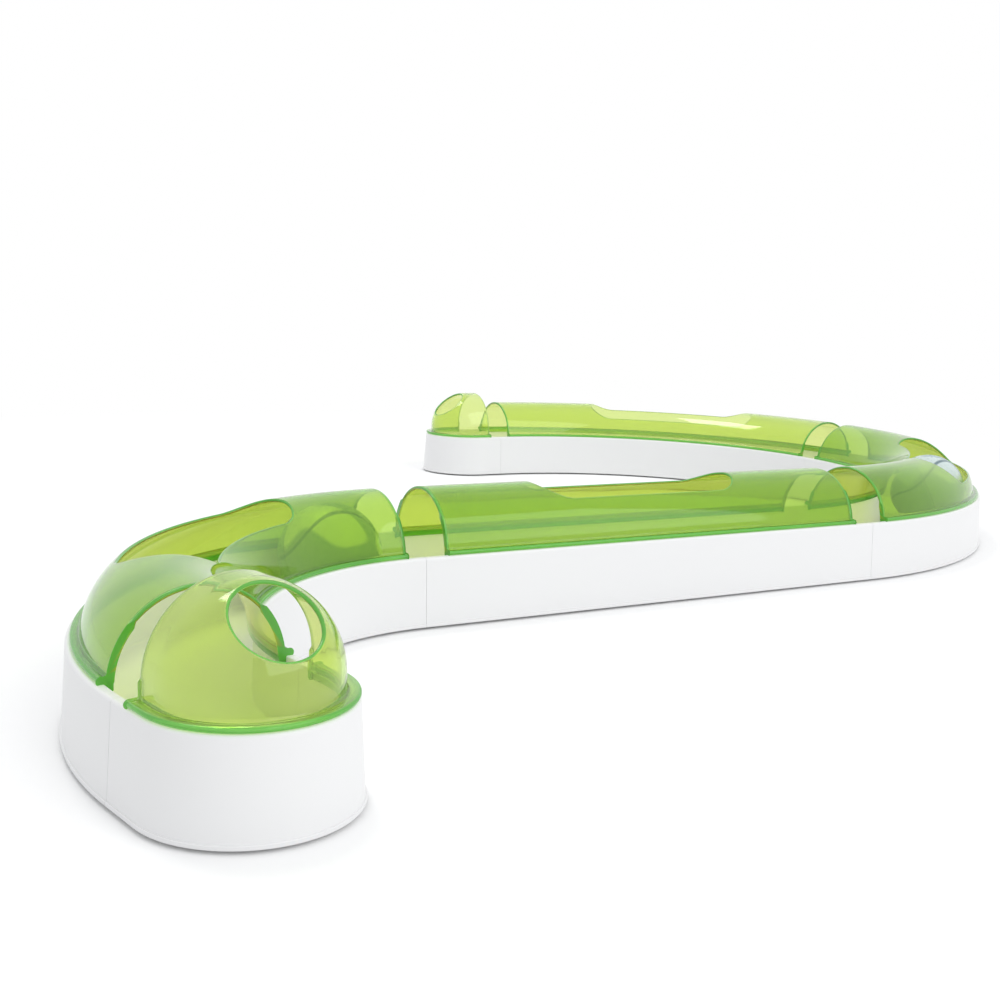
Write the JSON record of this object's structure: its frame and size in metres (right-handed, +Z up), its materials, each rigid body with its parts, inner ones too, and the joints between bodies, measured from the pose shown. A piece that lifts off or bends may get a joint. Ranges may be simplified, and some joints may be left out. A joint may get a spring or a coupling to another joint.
{
  "type": "cat ball track toy",
  "caption": "Low ball track for a cat: joined channel sections under clear lift-off covers with paw slots, domed dead ends, and hollow balls that roll along the channel.",
  "frame": {"origin": "on the floor, at the middle of the foot under the middle of the straight module", "axes": "+X along the straight module towards the wide right curve, +Y across it towards the far curve, +Z up"},
  "size_m": [0.577, 0.5629, 0.0562],
  "materials": {
    "base_white": "smooth moulded white plastic with a soft shine",
    "cover_green": "clear lime-green tinted plastic, polished",
    "foot_rubber": "soft light grey rubber",
    "ball_pale": "smooth pale grey-white plastic",
    "ball_grey": "smooth blue-grey plastic"
  },
  "bodies": {
    "front_end_module": {"front_end_base": "base_white", "front_end_feet": "foot_rubber"},
    "hook_module": {"hook_base": "base_white", "hook_feet": "foot_rubber"},
    "straight_module": {"straight_base": "base_white", "straight_feet": "foot_rubber"},
    "right_module": {"right_base": "base_white", "right_feet": "foot_rubber"},
    "far_module": {"far_base": "base_white", "far_feet": "foot_rubber"},
    "rear_end_module": {"rear_end_base": "base_white", "rear_end_feet": "foot_rubber"},
    "front_end_lid": {"front_end_cover": "cover_green"},
    "hook_lid": {"hook_cover": "cover_green"},
    "straight_lid": {"straight_cover": "cover_green"},
    "right_lid": {"right_cover": "cover_green"},
    "far_lid": {"far_cover": "cover_green"},
    "rear_end_lid": {"rear_end_cover": "cover_green"},
    "hook_ball": {"hook_ball_upper": "ball_pale", "hook_ball_lower": "ball_grey"},
    "loop_ball": {"loop_ball_upper": "ball_pale", "loop_ball_lower": "ball_grey"}
  },
  "joints": [
    {"name": "hook_module_lift", "type": "slide", "parent": "straight_module", "child": "hook_module", "axis": [0, 0, 1], "range_m": [0, 0.03]},
    {"name": "front_end_module_lift", "type": "slide", "parent": "hook_module", "child": "front_end_module", "axis": [0, 0, 1], "range_m": [0, 0.03]},
    {"name": "right_module_lift", "type": "slide", "parent": "straight_module", "child": "right_module", "axis": [0, 0, 1], "range_m": [0, 0.03]},
    {"name": "far_module_lift", "type": "slide", "parent": "right_module", "child": "far_module", "axis": [0, 0, 1], "range_m": [0, 0.03]},
    {"name": "rear_end_module_lift", "type": "slide", "parent": "far_module", "child": "rear_end_module", "axis": [0, 0, 1], "range_m": [0, 0.03]},
    {"name": "front_end_cover_lift", "type": "slide", "parent": "front_end_module", "child": "front_end_lid", "axis": [0, 0, 1], "range_m": [0, 0.03]},
    {"name": "hook_cover_lift", "type": "slide", "parent": "hook_module", "child": "hook_lid", "axis": [0, 0, 1], "range_m": [0, 0.03]},
    {"name": "straight_cover_lift", "type": "slide", "parent": "straight_module", "child": "straight_lid", "axis": [0, 0, 1], "range_m": [0, 0.03]},
    {"name": "right_cover_lift", "type": "slide", "parent": "right_module", "child": "right_lid", "axis": [0, 0, 1], "range_m": [0, 0.03]},
    {"name": "far_cover_lift", "type": "slide", "parent": "far_module", "child": "far_lid", "axis": [0, 0, 1], "range_m": [0, 0.03]},
    {"name": "rear_end_cover_lift", "type": "slide", "parent": "rear_end_module", "child": "rear_end_lid", "axis": [0, 0, 1], "range_m": [0, 0.03]},
    {"name": "hook_ball_run", "type": "hinge", "parent": "hook_module", "child": "hook_ball", "pos_m": [-0.1145, -0.114, 0], "axis": [0, 0, -1], "range_deg": [-76, 4]},
    {"name": "loop_ball_run", "type": "hinge", "parent": "right_module", "child": "loop_ball", "pos_m": [0.1145, 0.176, 0], "axis": [0, 0, -1], "range_deg": [-128, 38]}
  ]
}
